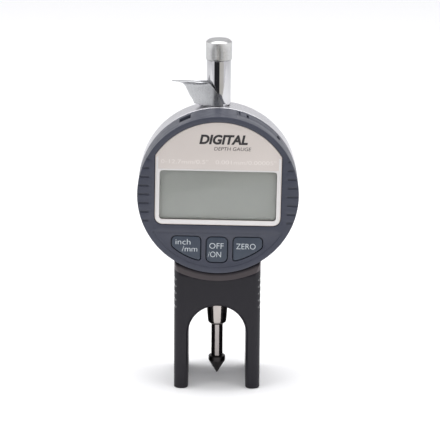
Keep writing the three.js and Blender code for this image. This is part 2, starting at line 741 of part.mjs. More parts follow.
function addPlungerGuides(group) {
  addPart(group, "stem", stem(), "chrome");
  addPart(group, "lower_bush", bush(27, 33, 3), "brass");
  addPart(group, "upper_bush", bush(106, 109.6, 3.1), "brass");
  addPart(group, "top_tube", topTube(), "chrome");
  addPart(group, "knurled_cap", knurledCap(), "chrome");
  const rod = cylinderZ(1, 53, 103.2, ROUND_SMALL);
  addPart(group, "guide_rod", rod, "chrome", [GUIDE_ROD_X, 0, 0]);
  const anchor = cylinderY(0.8, CASE.web + GAP, 2.2, ROUND_SMALL);
  addPart(group, "spring_anchor", anchor, "chrome", [SPRING.x, 0, SPRING.bottom - 1.2]);
  addPart(group, "return_spring", returnSpring(), "chrome", [SPRING.x, 0, 0]);
}

function addPlunger(group) {
  addPart(group, "spindle", spindle(), "chrome");
  addPart(group, "contact_point", contactPoint(), "darkSteel");
  addPart(group, "scale_carrier", scaleCarrier(), "darkPlastic");
  addPart(group, "scale_plate", block([-4, 4], [-3.4, -2.9], [60, 88]), "board");
  addPart(group, "lifting_collar", liftingCollar(), "brass");
}

function addLever(group) {
  const { pivotX, pivotZ } = LEVER;
  addPart(group, "lever_bracket", leverBracket(), "caseMetal");
  const pin = cylinderY(0.6, -3, 3, ROUND_SMALL);
  addPart(group, "lever_pivot_pin", pin, "chrome", [pivotX, 0, pivotZ]);
  addPart(group, "lift_lever", liftLever(), "sheet");
}

function addDisplay(face) {
  addPart(face, "front_housing", frontHousing(), "housing");
  addPart(face, "display_panel", displayPanel(), "panel");
  addPart(face, "window_lens", windowPlate(-20.4, -20.1), "glass");
  addPart(face, "lcd_module", windowPlate(-19.9, -18.5), "lcd");
  addPart(face, "lcd_backer", block([-20, 20], [-18.2, -17.3], [-7.6, 7.7]), "darkPlastic");
  addPart(face, "zebra_strip_1", block([-19, 19], [-18.2, -17.3], [8.1, 9.2]), "rubber");
  addPart(face, "zebra_strip_2", block([-19, 19], [-18.2, -17.3], [-9.2, -8]), "rubber");
}

function addElectronics(face) {
  addPart(face, "main_board", mainBoard(), "board");
  addPart(face, "processor_chip", block([-4, 4], [-16, -14.7], [-12, -4]), "darkPlastic");
  BOARD_POSTS.forEach((place, i) => {
    const head = [place[0], BOARD.back + 0.9, place[2]];
    addPart(face, `board_screw_${i + 1}`, screw(1.5, 0.7, 0.7, 2.6), "chrome", head);
  });
  const socket = atDialAngle(portSocket(), PORT.angle);
  addPart(face, "data_port_socket", socket, "darkPlastic");
  const endContact = block([-3, 3], [-15.9, -10.4], [12.6, 13.2]);
  const sideContact = block([9.4, 9.9], [-15.9, -10.4], [17, 23.5]);
  addPart(face, "battery_contact_end", atDialAngle(endContact, DRAWER.angle), "brass");
  addPart(face, "battery_contact_side", atDialAngle(sideContact, DRAWER.angle), "brass");
}

function addKeys(face) {
  addPart(face, "keypad_membrane", keypadMembrane(), "rubber");
  Object.entries(KEY_BOXES).forEach(([name, [left, right]], i) => {
    addPart(face, name, key(name), "key");
    addPart(face, `key_dome_${i + 1}`, keyDome(), "sheet", [(left + right) / 2, 0, -20.45]);
  });
}

const indicator = new THREE.Group();
indicator.position.y = PLUNGER_Y;
addBase(indicator);
addCase(indicator);
addPlungerGuides(indicator);
addPlunger(indicator);
addLever(indicator);

const face = new THREE.Group();
face.position.z = DIAL_Z;
face.rotation.y = degrees(FACE_TURN);
indicator.add(face);
addDisplay(face);
addElectronics(face);
addKeys(face);
addPart(face, "battery_drawer", batteryDrawer(), "housing");
addPart(face, "coin_cell", coinCell(), "chrome");

const model = new THREE.Group();
model.add(indicator);

export default model;
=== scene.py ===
"""A digital dial indicator in a bridge base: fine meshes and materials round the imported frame.

Lengths are in millimetres until a mesh is made. Places come from the frame's boxes.
"""

import math

import bmesh
import bpy
from mathutils import Matrix, Vector


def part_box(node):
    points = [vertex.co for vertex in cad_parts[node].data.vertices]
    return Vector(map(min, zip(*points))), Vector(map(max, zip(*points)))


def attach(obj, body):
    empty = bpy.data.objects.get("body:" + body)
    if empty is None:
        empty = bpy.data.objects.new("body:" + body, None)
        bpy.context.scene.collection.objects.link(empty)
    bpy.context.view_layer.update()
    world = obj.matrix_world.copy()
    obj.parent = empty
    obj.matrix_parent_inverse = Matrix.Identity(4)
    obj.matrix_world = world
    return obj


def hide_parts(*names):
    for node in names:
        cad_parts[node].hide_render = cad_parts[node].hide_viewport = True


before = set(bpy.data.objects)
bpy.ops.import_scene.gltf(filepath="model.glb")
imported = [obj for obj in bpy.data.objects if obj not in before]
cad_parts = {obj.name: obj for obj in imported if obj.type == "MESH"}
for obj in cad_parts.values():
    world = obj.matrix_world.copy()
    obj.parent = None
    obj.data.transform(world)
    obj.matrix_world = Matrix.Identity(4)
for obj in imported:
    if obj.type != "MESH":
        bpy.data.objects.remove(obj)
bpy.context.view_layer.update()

MM = 0.001


def box_mm(node):
    low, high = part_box(node)
    return low / MM, high / MM


# ---- places from the frame ---------------------------------------------------------------

PLUNGER_Y = sum(p.y for p in box_mm("spindle")) / 2
DIAL_Z = sum(p.z for p in box_mm("case_body")) / 2
DIAL_R = (box_mm("case_body")[1].z - box_mm("case_body")[0].z) / 2
FACE_TURN = math.radians(0.8)
SADDLE_R, SADDLE_BEVEL = 31.25, (3.8, 1.4)
SADDLE_REACH = SADDLE_R + SADDLE_BEVEL[0]
ON_AXIS = Matrix.Translation((0, PLUNGER_Y, 0))
ON_DIAL = Matrix.Translation((0, PLUNGER_Y, DIAL_Z))
ON_FACE = ON_DIAL @ Matrix.Rotation(FACE_TURN, 4, "Y")


def depth_of(node):
    """A node's front and back, counted from the plunger axis."""
    low, high = box_mm(node)
    return low.y - PLUNGER_Y, high.y - PLUNGER_Y


def height_of(node):
    low, high = box_mm(node)
    return low.z, high.z


def radius_of(node):
    low, high = box_mm(node)
    return max(high.x - low.x, high.y - low.y) / 2


# ---- mesh helpers ------------------------------------------------------------------------


def make(name, points, faces, place):
    """A mesh object from points in millimetres, its normals facing out."""
    mesh = bpy.data.meshes.new(name)
    mesh.from_pydata([(place @ Vector(p)) * MM for p in points], [], faces)
    obj = bpy.data.objects.new(name, mesh)
    bpy.context.scene.collection.objects.link(obj)
    face_outwards(obj)
    return obj


def face_outwards(obj):
    work = bmesh.new()
    work.from_mesh(obj.data)
    bmesh.ops.remove_doubles(work, verts=work.verts, dist=1e-7)
    bmesh.ops.recalc_face_normals(work, faces=work.faces)
    work.to_mesh(obj.data)
    work.free()


def filleted(corners, steps):
    """Corners (u, v) or (u, v, fillet) as a closed outline with its fillets drawn out."""
    outline = []
    count = len(corners)
    for i, corner in enumerate(corners):
        here = Vector(corner[:2])
        size = corner[2] if len(corner) > 2 else 0
        before = Vector(corners[i - 1][:2]) - here
        after = Vector(corners[(i + 1) % count][:2]) - here
        cut = min(size, before.length / 2.01, after.length / 2.01)
        if cut < 1e-6:
            outline.append(tuple(here))
            continue
        start = here + before.normalized() * cut
        end = here + after.normalized() * cut
        for k in range(steps + 1):
            t = k / steps
            point = start * (1 - t) ** 2 + here * 2 * t * (1 - t) + end * t**2
            outline.append(tuple(point))
    return outline


def grown(outline, by):
    """The outline moved outwards by a distance, or inwards by a negative one."""
    area = sum(a[0] * b[1] - b[0] * a[1] for a, b in zip(outline, outline[1:] + outline[:1]))
    sign = 1 if area > 0 else -1
    result = []
    count = len(outline)
    for i in range(count):
        a, b, c = (Vector(outline[j % count]) for j in (i - 1, i, i + 1))
        first, second = (b - a).normalized(), (c - b).normalized()
        mitre = Vector((first.y + second.y, -first.x - second.x)).normalized()
        stretch = max(mitre.dot(Vector((second.y, -second.x))), 0.3)
        result.append(tuple(b + mitre * (sign * by / stretch)))
    return result


def stacked(name, rings, place=ON_AXIS):
    """A skin over closed rings of equally many points, with its ends filled."""
    count = len(rings[0])
    points = [p for ring in rings for p in ring]
    faces = []
    for j in range(len(rings) - 1):
        for i in range(count):
            a, b = j * count + i, j * count + (i + 1) % count
            faces.append((a, b, b + count, a + count))
    faces.append(tuple(range(count)))
    faces.append(tuple(len(points) - 1 - i for i in range(count)))
    return make(name, points, faces, place)


def turned(name, corners, axis="Z", segments=96, place=ON_AXIS, steps=4):
    """A closed profile of (radius, height) corners turned about Z or Y."""
    profile = filleted(corners, steps)
    points, rings, faces = [], [], []
    for radius, along in profile:
        single = radius < 1e-6
        ring = []
        for k in range(1 if single else segments):
            angle = 2 * math.pi * k / segments
            across, up = radius * math.cos(angle), radius * math.sin(angle)
            ring.append(len(points))
            points.append((across, up, along) if axis == "Z" else (across, along, up))
        rings.append(ring)
    for lower, upper in zip(rings, rings[1:] + rings[:1]):
        if len(lower) == 1 and len(upper) == 1:
            continue
        for k in range(segments):
            following = (k + 1) % segments
            if len(lower) == 1:
                faces.append((lower[0], upper[following], upper[k]))
            elif len(upper) == 1:
                faces.append((lower[k], lower[following], upper[0]))
            else:
                faces.append((lower[k], lower[following], upper[following], upper[k]))
    return make(name, points, faces, place)


def cylinder(radius, low, high, segments, axis="Z", place=ON_AXIS):
    """A plain cylinder, for cutting holes."""
    corners = [(0, low), (radius, low), (radius, high), (0, high)]
    return turned("cylinder", corners, axis, segments, place)


def plate(name, outline, front, back, edge=0, place=ON_FACE):
    """An outline in X and Z with a thickness in Y, and a rounded front edge."""
    steps = 3
    rings = [[(u, back, v) for u, v in outline]]
    for k in range(steps + 1):
        angle = math.pi / 2 * k / steps
        inset = edge * (1 - math.cos(angle))
        depth = front + edge * (1 - math.sin(angle))
        ring = grown(outline, -inset) if inset else outline
        rings.append([(u, depth, v) for u, v in ring])
        if not edge:
            break
    return stacked(name, rings, place)


def joined(name, objects):
    """Several meshes as one object."""
    mesh = bpy.data.meshes.new(name)
    work = bmesh.new()
    for obj in objects:
        work.from_mesh(obj.data)
        bpy.data.objects.remove(obj)
    work.to_mesh(mesh)
    work.free()
    result = bpy.data.objects.new(name, mesh)
    bpy.context.scene.collection.objects.link(result)
    return result


def applied(obj):
    """The object with its modifiers made permanent."""
    evaluated = obj.evaluated_get(bpy.context.evaluated_depsgraph_get())
    mesh = bpy.data.meshes.new_from_object(evaluated)
    obj.modifiers.clear()
    obj.data = mesh
    return obj


def combined(obj, other, operation="DIFFERENCE"):
    modifier = obj.modifiers.new("cut", "BOOLEAN")
    modifier.operation = operation
    modifier.solver = "EXACT"
    modifier.object = other
    bpy.context.view_layer.update()
    applied(obj)
    bpy.data.objects.remove(other)
    return obj


def softened(obj, width, segments, angle):
    """The object with every edge sharper than an angle in degrees rounded."""
    modifier = obj.modifiers.new("edges", "BEVEL")
    modifier.width = width * MM
    modifier.segments = segments
    modifier.limit_method = "ANGLE"
    modifier.angle_limit = math.radians(angle)
    modifier.harden_normals = False
    bpy.context.view_layer.update()
    return applied(obj)


def cuboid(name, x, y, z, place=ON_AXIS):
    ring = [(x[0], z[0]), (x[1], z[0]), (x[1], z[1]), (x[0], z[1])]
    return stacked(name, [[(u, d, v) for u, v in ring] for d in y], place)


def finished(obj, material, body, slot, *nodes, smooth=30):
    """Gives a piece its material, smooth shading and place in the frame."""
    obj.data.materials.clear()
    obj.data.materials.append(material)
    obj.data.shade_smooth()
    obj.data.set_sharp_from_angle(angle=math.radians(smooth))
    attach(obj, body)
    if nodes:
        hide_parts(*nodes)
    return obj


# ---- materials ---------------------------------------------------------------------------


class Finish:
    """A Principled material whose colour, roughness and bump come from procedural detail."""

    def __init__(self, name, color, roughness, metallic=0.0, **sockets):
        self.material = bpy.data.materials.new(name)
        self.material.use_nodes = True
        self.tree = self.material.node_tree
        self.shader = self.tree.nodes["Principled BSDF"]
        self.color, self.roughness = color, roughness
        self.shader.inputs["Base Color"].default_value = (*color, 1)
        self.shader.inputs["Roughness"].default_value = roughness
        self.shader.inputs["Metallic"].default_value = metallic
        for socket, value in sockets.items():
            self.shader.inputs[socket.replace("_", " ")].default_value = value
        self.place = self.node("ShaderNodeTexCoord").outputs["Object"]
        self.height = None

    def node(self, kind, **settings):
        made = self.tree.nodes.new(kind)
        for key, value in settings.items():
            setattr(made, key, value)
        return made

    def link(self, source, target):
        self.tree.links.new(source, target)

    def stretched(self, scale):
        """Coordinates in millimetres, scaled along each axis."""
        mapping = self.node("ShaderNodeMapping")
        mapping.inputs["Scale"].default_value = [s / MM for s in scale]
        self.link(self.place, mapping.inputs["Vector"])
        return mapping.outputs["Vector"]

    def noise(self, scale, detail=3.0, vector=None):
        """Noise from 0 to 1; scale is in features a millimetre on each axis."""
        texture = self.node("ShaderNodeTexNoise")
        texture.inputs["Scale"].default_value = 1
        texture.inputs["Detail"].default_value = detail
        scale = scale if isinstance(scale, tuple) else (scale, scale, scale)
        self.link(vector or self.stretched(scale), texture.inputs["Vector"])
        return texture.outputs["Fac"]

    def ranged(self, value, low, high, start=0.3, end=0.7):
        ranger = self.node("ShaderNodeMapRange")
        ranger.inputs["From Min"].default_value = start
        ranger.inputs["From Max"].default_value = end
        ranger.inputs["To Min"].default_value = low
        ranger.inputs["To Max"].default_value = high
        self.link(value, ranger.inputs["Value"])
        return ranger.outputs["Result"]

    def shade(self, value, spread):
        """Varies the base colour's brightness by a share, as the value runs 0 to 1."""
        factor = self.ranged(value, 1 - spread, 1 + spread)
        source = self.shader.inputs["Base Color"]
        multiply = self.node("ShaderNodeVectorMath", operation="SCALE")
        if source.is_linked:
            self.link(source.links[0].from_socket, multiply.inputs[0])
        else:
            multiply.inputs[0].default_value = self.color
        self.link(factor, multiply.inputs["Scale"])
        self.link(multiply.outputs["Vector"], source)
        return self

    def blend(self, color, first, second):
        """Mixes another colour in, by the product of two shares."""
        share = self.node("ShaderNodeMath", operation="MULTIPLY")
        self.link(first, share.inputs[0])
        self.link(second, share.inputs[1])
        mix = self.node("ShaderNodeMixRGB")
        source = self.shader.inputs["Base Color"]
        self.link(share.outputs["Value"], mix.inputs["Fac"])
        self.link(source.links[0].from_socket, mix.inputs["Color1"])
        mix.inputs["Color2"].default_value = (*color, 1)
        self.link(mix.outputs["Color"], source)
        return self

    def vary_roughness(self, value, spread):
        low, high = self.roughness - spread, self.roughness + spread
        self.link(self.ranged(value, low, high), self.shader.inputs["Roughness"])
        return self

    def bump(self, value, height):
        """Adds relief of a height in millimetres."""
        bump = self.node("ShaderNodeBump")
        bump.inputs["Distance"].default_value = height * MM
        self.link(value, bump.inputs["Height"])
        if self.height:
            self.link(self.height, bump.inputs["Normal"])
        self.height = bump.outputs["Normal"]
        self.link(self.height, self.shader.inputs["Normal"])
        return self

    def from_dial_axis(self):
        """The distance from the dial's axis."""
        away = self.node("ShaderNodeVectorMath", operation="SUBTRACT")
        self.link(self.place, away.inputs[0])
        away.inputs[1].default_value = (0, 0, DIAL_Z * MM)
        flat = self.node("ShaderNodeVectorMath", operation="MULTIPLY")
        self.link(away.outputs["Vector"], flat.inputs[0])
        flat.inputs[1].default_value = (1, 0, 1)
        radius = self.node("ShaderNodeVectorMath", operation="LENGTH")
        self.link(flat.outputs["Vector"], radius.inputs[0])
        return radius.outputs["Value"]

    def rings(self, per_mm):
        """Fine lathe marks about the dial's axis: noise that changes with radius and depth only."""
        parts = self.node("ShaderNodeSeparateXYZ")
        self.link(self.place, parts.inputs["Vector"])
        lines = self.node("ShaderNodeCombineXYZ")
        self.link(self.from_dial_axis(), lines.inputs["X"])
        self.link(parts.outputs["Y"], lines.inputs["Y"])
        scaled = self.node("ShaderNodeVectorMath", operation="SCALE")
        self.link(lines.outputs["Vector"], scaled.inputs[0])
        scaled.inputs["Scale"].default_value = per_mm / MM
        return self.noise(1, 2.0, scaled.outputs["Vector"])


def moulded(name, color, roughness, grain=6.0, relief=0.006, **sockets):
    """Moulded or coated plastic: a fine grain, slight cloudiness and handling marks."""
    finish = Finish(name, color, roughness, **sockets)
    finish.shade(finish.noise(0.12), 0.05).vary_roughness(finish.noise(0.35, 5.0), 0.06)
    return finish.bump(finish.noise(grain, 2.0), relief).material


def anodised_with_painted_light(name, color, painted_light_color, roughness):
    """Blasted black metal with a sealed skin, and a paler band painted on the saddle's bevel as painted
    light.
    """
    coat = {"Specular_IOR_Level": 0.05, "Coat_Weight": 0.42, "Coat_Roughness": 0.22}
    finish = Finish(name, color, roughness, **coat)
    away = finish.from_dial_axis()
    finish.shade(finish.noise(0.12), 0.05).vary_roughness(finish.noise(0.35, 5.0), 0.05)
    # Painted highlight: a paler colour mixed in on the bevel round the saddle, where it faces up to the
    # light.
    inside = finish.ranged(away, 1.0, 0.0, (SADDLE_REACH - 0.1) * MM, SADDLE_REACH * MM)
    # The strip next to the dial keeps the plain black, as painted shade under the dial's edge.
    out_of_painted_shade = finish.ranged(away, 0.0, 1.0, (SADDLE_R + 1.2) * MM, (SADDLE_R + 2.2) * MM)
    finish.blend(painted_light_color, inside, out_of_painted_shade)
    return finish.bump(finish.noise(3.5, 2.0), 0.006).material


def polished(name, color, roughness, along=(0.4, 0.4, 8.0), edge=1.0):
    """Bright metal with faint lines and small changes of gloss; edge tints its grazing reflections."""
    finish = Finish(name, color, roughness, 1.0, Specular_Tint=(edge, edge, edge, 1))
    lines = finish.noise(along, 3.0)
    finish.vary_roughness(finish.noise(along, 3.0), 0.04).shade(finish.noise(0.3), 0.03)
    return finish.bump(lines, 0.0008).material


def lathe_turned(name, color, roughness, marks=7.0):
    """Turned metal with fine rings about the dial's axis."""
    finish = Finish(name, color, roughness, metallic=1.0)
    lines = finish.rings(marks)
    finish.shade(lines, 0.07).vary_roughness(lines, 0.06).shade(finish.noise(0.08), 0.03)
    return finish.bump(lines, 0.004).material


def display_glass(name, color):
    """The blank reflective display: a slightly mottled grey under a clear layer."""
    finish = Finish(name, color, 0.35, Coat_Weight=0.35, Coat_Roughness=0.12)
    finish.shade(finish.noise((0.03, 0.03, 0.05), 1.0), 0.03)
    return finish.shade(finish.noise(9.0, 1.0), 0.012).material


def clear_window(name):
    finish = Finish(name, (0.95, 0.97, 0.96), 0.06, Transmission_Weight=1.0, IOR=1.3)
    return finish.bump(finish.noise(0.2, 1.0), 0.002).material


def printed_panel(name, color):
    """Pearl-silver print: small bright and dark flecks and a very slight orange peel."""
    finish = Finish(name, color, 0.42, metallic=0.25)
    finish.shade(finish.noise(11.0, 1.0), 0.025).shade(finish.noise(0.06), 0.015)
    return finish.bump(finish.noise(1.5, 2.0), 0.002).material


PLASTIC = moulded("housing_plastic", (0.037, 0.041, 0.061), 0.42)
KEY_PLASTIC = moulded("key_plastic", (0.03, 0.041, 0.062), 0.46, grain=8.0)
# The base's second colour is a painted highlight on the saddle's bevel, not a different finish.
BLACK = anodised_with_painted_light("base_black", (0.0095, 0.0085, 0.0125), (0.088, 0.076, 0.08), 0.4)
DARK = moulded("dark_moulding", (0.012, 0.012, 0.014), 0.55)
ELASTOMER = moulded("elastomer", (0.22, 0.22, 0.21), 0.7)
BOARD = moulded("circuit_board", (0.02, 0.1, 0.045), 0.4, grain=2.0)
PANEL = printed_panel("panel_silver", (0.6, 0.55, 0.52))
RIM = printed_panel("panel_rim", (0.66, 0.645, 0.64))
LCD = display_glass("lcd_face", (0.44, 0.44, 0.42))
LENS = clear_window("window_clear")
INK_DARK = moulded("ink_dark", (0.02, 0.018, 0.02), 0.5, relief=0.001)
INK_PALE = moulded("ink_pale", (0.7, 0.655, 0.625), 0.55, relief=0.001)
INK_WHITE = moulded("ink_white", (0.56, 0.6, 0.63), 0.5, relief=0.001)
CASE = lathe_turned("case_silver", (0.7, 0.695, 0.72), 0.3)
COVER = lathe_turned("cover_silver", (0.62, 0.62, 0.64), 0.34, marks=4.0)
CHROME = polished("chrome", (0.53, 0.53, 0.545), 0.06)
KNURL = polished("knurled_chrome", (0.52, 0.52, 0.52), 0.24)
SHEET = polished("lever_sheet", (0.43, 0.435, 0.445), 0.29, along=(6.0, 6.0, 0.4))
STEEL = polished("bright_steel", (0.5, 0.5, 0.52), 0.3)
STEM_STEEL = polished("stem_steel", (0.42, 0.385, 0.365), 0.09, edge=0.2)
SPINDLE_STEEL = polished("spindle_steel", (0.36, 0.33, 0.32), 0.09, edge=0.2)
TIP = polished("blackened_steel", (0.05, 0.046, 0.047), 0.38)
BRASS = polished("brass", (0.5, 0.36, 0.14), 0.3)


# ---- camera, floor and light -------------------------------------------------------------

CAMERA = {"x": 0.82, "distance": 870.0, "height": 309.1, "pitch": 15.81, "roll": 0.43}
FOCAL_IN_FRAMES = 2375 / 440
SENSOR_WIDTH = 36
FLOOR_HALF, FLOOR_FRONT = 3000, -300
LAMP_AIM = Vector((0, 0, 60))


def add_camera():
    data = bpy.data.cameras.new("camera")
    data.sensor_width = SENSOR_WIDTH
    data.lens = SENSOR_WIDTH * FOCAL_IN_FRAMES
    data.clip_start, data.clip_end = 0.01, 20
    camera = bpy.data.objects.new("camera", data)
    bpy.context.scene.collection.objects.link(camera)
    place = Vector((CAMERA["x"], PLUNGER_Y - CAMERA["distance"], CAMERA["height"])) * MM
    tilt = Matrix.Rotation(math.radians(90 - CAMERA["pitch"]), 4, "X")
    roll = Matrix.Rotation(math.radians(CAMERA["roll"]), 4, "Z")
    camera.matrix_world = Matrix.Translation(place) @ tilt @ roll
    bpy.context.scene.camera = camera


def add_floor():
    """A white sheet that ends in front of the object, short of the viewer."""
    half, front = FLOOR_HALF, FLOOR_FRONT
    ring = [(-half, front, 0), (half, front, 0), (half, half, 0), (-half, half, 0)]
    floor = make("floor", ring, [(0, 1, 2, 3)], Matrix.Translation((0, 0, -0.02)))
    finish = Finish("floor_white", (0.96, 0.96, 0.965), 0.8)
    finish.shade(finish.noise(0.004), 0.004)
    floor.data.materials.append(finish.material)


def add_lamp(name, place, size, power):
    """A white rectangular lamp, aimed at the middle of the object."""
    data = bpy.data.lights.new(name, "AREA")
    data.shape = "RECTANGLE"
    data.size, data.size_y = size[0] * MM, size[1] * MM
    data.energy = power
    lamp = bpy.data.objects.new(name, data)
    bpy.context.scene.collection.objects.link(lamp)
    lamp.location = Vector(place) * MM
    aim = LAMP_AIM - Vector(place)
    lamp.rotation_mode = "QUATERNION"
    lamp.rotation_quaternion = aim.to_track_quat("-Z", "Y")


# What the room looks like all round, level and below: (degrees right of the front, colour).
ROOM = [
    (-180, (0.7, 0.7, 0.72)),
    (-125, (1.0, 1.0, 1.03)),
    (-47, (1.0, 1.0, 1.03)),
    (-41, (0.03, 0.03, 0.034)),
    (4, (0.03, 0.03, 0.034)),
    (8, (0.76, 0.73, 0.67)),
    (44, (0.8, 0.78, 0.74)),
    (50, (1.0, 1.0, 1.02)),
    (125, (1.0, 1.0, 1.02)),
    (180, (0.7, 0.7, 0.72)),
]
SKY = 0.78


def compass(nodes, links, parts):
    """The room's colour by the direction round Z, from the front."""
    front = nodes.new("ShaderNodeMath")
    front.operation = "MULTIPLY"
    front.inputs[1].default_value = -1
    links.new(parts.outputs["Y"], front.inputs[0])
    angle = nodes.new("ShaderNodeMath")
    angle.operation = "ARCTAN2"
    links.new(parts.outputs["X"], angle.inputs[0])
    links.new(front.outputs["Value"], angle.inputs[1])
    turn = nodes.new("ShaderNodeMapRange")
    turn.inputs["From Min"].default_value = -math.pi
    turn.inputs["From Max"].default_value = math.pi
    links.new(angle.outputs["Value"], turn.inputs["Value"])
    ramp = nodes.new("ShaderNodeValToRGB")
    links.new(turn.outputs["Result"], ramp.inputs["Fac"])
    stops = ramp.color_ramp.elements
    while len(stops) < len(ROOM):
        stops.new(0.5)
    for stop, (degrees, color) in zip(stops, ROOM):
        stop.position = (degrees + 180) / 360
        stop.color = (*color, 1)
    return ramp.outputs["Color"]


def add_world():
    """A white tent, open in front: dark on the viewer's left and a warm wall on the right."""
    world = bpy.data.worlds.new("studio")
    bpy.context.scene.world = world
    world.use_nodes = True
    nodes, links = world.node_tree.nodes, world.node_tree.links
    background = nodes["Background"]
    parts = nodes.new("ShaderNodeSeparateXYZ")
    links.new(nodes.new("ShaderNodeTexCoord").outputs["Generated"], parts.inputs["Vector"])
    height = nodes.new("ShaderNodeMapRange")
    height.inputs["From Min"].default_value = 0.02
    height.inputs["From Max"].default_value = 0.2
    links.new(parts.outputs["Z"], height.inputs["Value"])
    mix = nodes.new("ShaderNodeMixRGB")
    links.new(height.outputs["Result"], mix.inputs["Fac"])
    links.new(compass(nodes, links, parts), mix.inputs["Color1"])
    mix.inputs["Color2"].default_value = (SKY, SKY, SKY * 1.02, 1)
    links.new(mix.outputs["Color"], background.inputs["Color"])
    seen = nodes.new("ShaderNodeBackground")
    seen.inputs["Color"].default_value = (1, 1, 1, 1)
    choice = nodes.new("ShaderNodeMixShader")
    links.new(nodes.new("ShaderNodeLightPath").outputs["Is Camera Ray"], choice.inputs["Fac"])
    links.new(background.outputs["Background"], choice.inputs[1])
    links.new(seen.outputs["Background"], choice.inputs[2])
    links.new(choice.outputs["Shader"], nodes["World Output"].inputs["Surface"])


def light_studio():
    add_world()
    add_lamp("top_soft", (0, 30, 900), (1300, 300), 5.2)
    add_lamp("left_soft", (-700, -500, 600), (500, 600), 2.2)
    add_lamp("right_soft", (700, -500, 600), (500, 600), 2.2)


add_camera()
add_floor()
light_studio()
bpy.context.scene.view_settings.view_transform = "Standard"


# ---- bridge base -------------------------------------------------------------------------

BASE_LOW, BASE_HIGH = box_mm("bridge_base")
BASE_HALF_X = (BASE_HIGH.x - BASE_LOW.x) / 2
BASE_HALF_Y = (BASE_HIGH.y - BASE_LOW.y) / 2
BASE_ROUND = 2.5
ARCH_R, ARCH_Z = 10.9, 21.6
GRIP_TOP, GRIP_PITCH, GRIP_COUNT, GRIP_DEPTH = 43.2, 2.7, 5, 0.95
GRIP_HALF_WIDTH = 0.75
FOOT_FILLET = 0.4
STEM_BORE_R, BORE_BOTTOM, BORE_TOP = 4.35, 30, 60
SCREW_HOLE_R, SCREW_HOLE_MOUTH = 2.3, 3.2


def smooth_step(value, low, high):
    t = min(max((value - low) / (high - low), 0), 1)
    return t * t * (3 - 2 * t)


def grip_depth(z):
    """How deep the finger grooves are at a height: round ridges with narrow valleys between."""
    lowest = GRIP_TOP - (GRIP_COUNT - 1) * GRIP_PITCH
    if z > GRIP_TOP + GRIP_PITCH / 2 or z < lowest - GRIP_PITCH / 2:
        return 0
    phase = (z - GRIP_TOP) / GRIP_PITCH
    offset = abs(phase - round(phase)) * GRIP_PITCH
    return GRIP_DEPTH * max(1 - (offset / GRIP_HALF_WIDTH) ** 1.6, 0)


def base_levels():
    """Heights for the base's skin, close together where the grooves and the foot fillet are."""
    levels = [FOOT_FILLET * (1 - math.cos(math.pi / 2 * k / 5)) for k in range(6)]
    levels += [4 + 3 * k for k in range(9)]
    low = GRIP_TOP - (GRIP_COUNT - 0.5) * GRIP_PITCH
    steps = GRIP_COUNT * 12
    levels += [low + k * GRIP_PITCH / 12 for k in range(steps + 1)]
    return levels + [46.5, 48, 50, 52.5]


def base_ring(z):
    """The base's plan at a height, as points round a rectangle with round corners."""
    foot = FOOT_FILLET - math.sqrt(max(FOOT_FILLET**2 - max(FOOT_FILLET - z, 0) ** 2, 0))
    half_y, reach = BASE_HALF_Y - foot, BASE_HALF_X - grip_depth(z)
    straight_x, straight_y = BASE_HALF_X - foot - BASE_ROUND, half_y - BASE_ROUND
    ring = []
    for quadrant, (sign_x, sign_y) in enumerate(((1, 1), (-1, 1), (-1, -1), (1, -1))):
        for k in range(9):
            angle = math.pi / 2 * (quadrant + k / 8)
            x = sign_x * straight_x + BASE_ROUND * math.cos(angle)
            ring.append((x, sign_y * straight_y + BASE_ROUND * math.sin(angle)))
        if sign_x == sign_y:
            ring += [(-sign_y * t / 4 * straight_x * 0.93, sign_y * half_y) for t in range(-4, 5)]
    return [(max(min(x, reach), -reach), y, z) for x, y in ring]


def arch_outline(radius):
    """The gap between the legs, seen from the front, a little wider at the feet."""
    left = [(-radius - FOOT_FILLET, -1)]
    for j in range(6):
        angle = math.pi / 2 * j / 5
        widening = FOOT_FILLET * (1 - math.sin(angle))
        left.append((-radius - widening, FOOT_FILLET * (1 - math.cos(angle))))
    angles = [math.pi * (1 - j / 48) for j in range(49)]
    top = [(radius * math.cos(a), ARCH_Z + radius * math.sin(a)) for a in angles]
    return left + top + [(-x, z) for x, z in reversed(left)]


def arch_cutter():
    """The gap between the legs, flared at the front and back so that the edges are round."""
    flares = []
    for k in range(8):
        angle = math.pi / 2 * k / 7
        depth = BASE_HALF_Y - BASE_ROUND * (1 - math.sin(angle))
        flares.append((depth, BASE_ROUND * (1 - math.cos(angle))))
    flares.append((BASE_HALF_Y + 1, BASE_ROUND))
    sections = [(-depth, flare) for depth, flare in reversed(flares)] + flares
    rings = [[(x, depth, z) for x, z in arch_outline(ARCH_R + flare)] for depth, flare in sections]
    return stacked("arch_cutter", rings)


def saddle_cutter():
    width, depth = SADDLE_BEVEL
    inner, wide = BASE_HALF_Y - depth, SADDLE_REACH
    corners = [
        (0, -BASE_HALF_Y - 1), (wide + width / depth, -BASE_HALF_Y - 1), (wide, -BASE_HALF_Y),
        (SADDLE_R, -inner, 0.5), (SADDLE_R, inner, 0.5), (wide, BASE_HALF_Y),
        (wide + width / depth, BASE_HALF_Y + 1), (0, BASE_HALF_Y + 1),
    ]
    return turned("saddle_cutter", corners, "Y", 160, ON_DIAL)


def build_base():
    base = stacked("base_body", [base_ring(z) for z in base_levels()])
    combined(base, arch_cutter())
    combined(base, saddle_cutter())
    combined(base, cylinder(STEM_BORE_R, BORE_BOTTOM, BORE_TOP, 64))
    hole = [(0, 0), (SCREW_HOLE_R, 0), (SCREW_HOLE_R, BASE_HALF_Y - 0.5)]
    hole += [(SCREW_HOLE_MOUTH, BASE_HALF_Y + 0.5), (0, 20)]
    height = Matrix.Translation((0, PLUNGER_Y, sum(height_of("clamp_screw")) / 2))
    combined(base, turned("screw_hole", hole, "Y", 48, height))
    return finished(base, BLACK, "base_and_case", "base_black", "bridge_base", smooth=40)


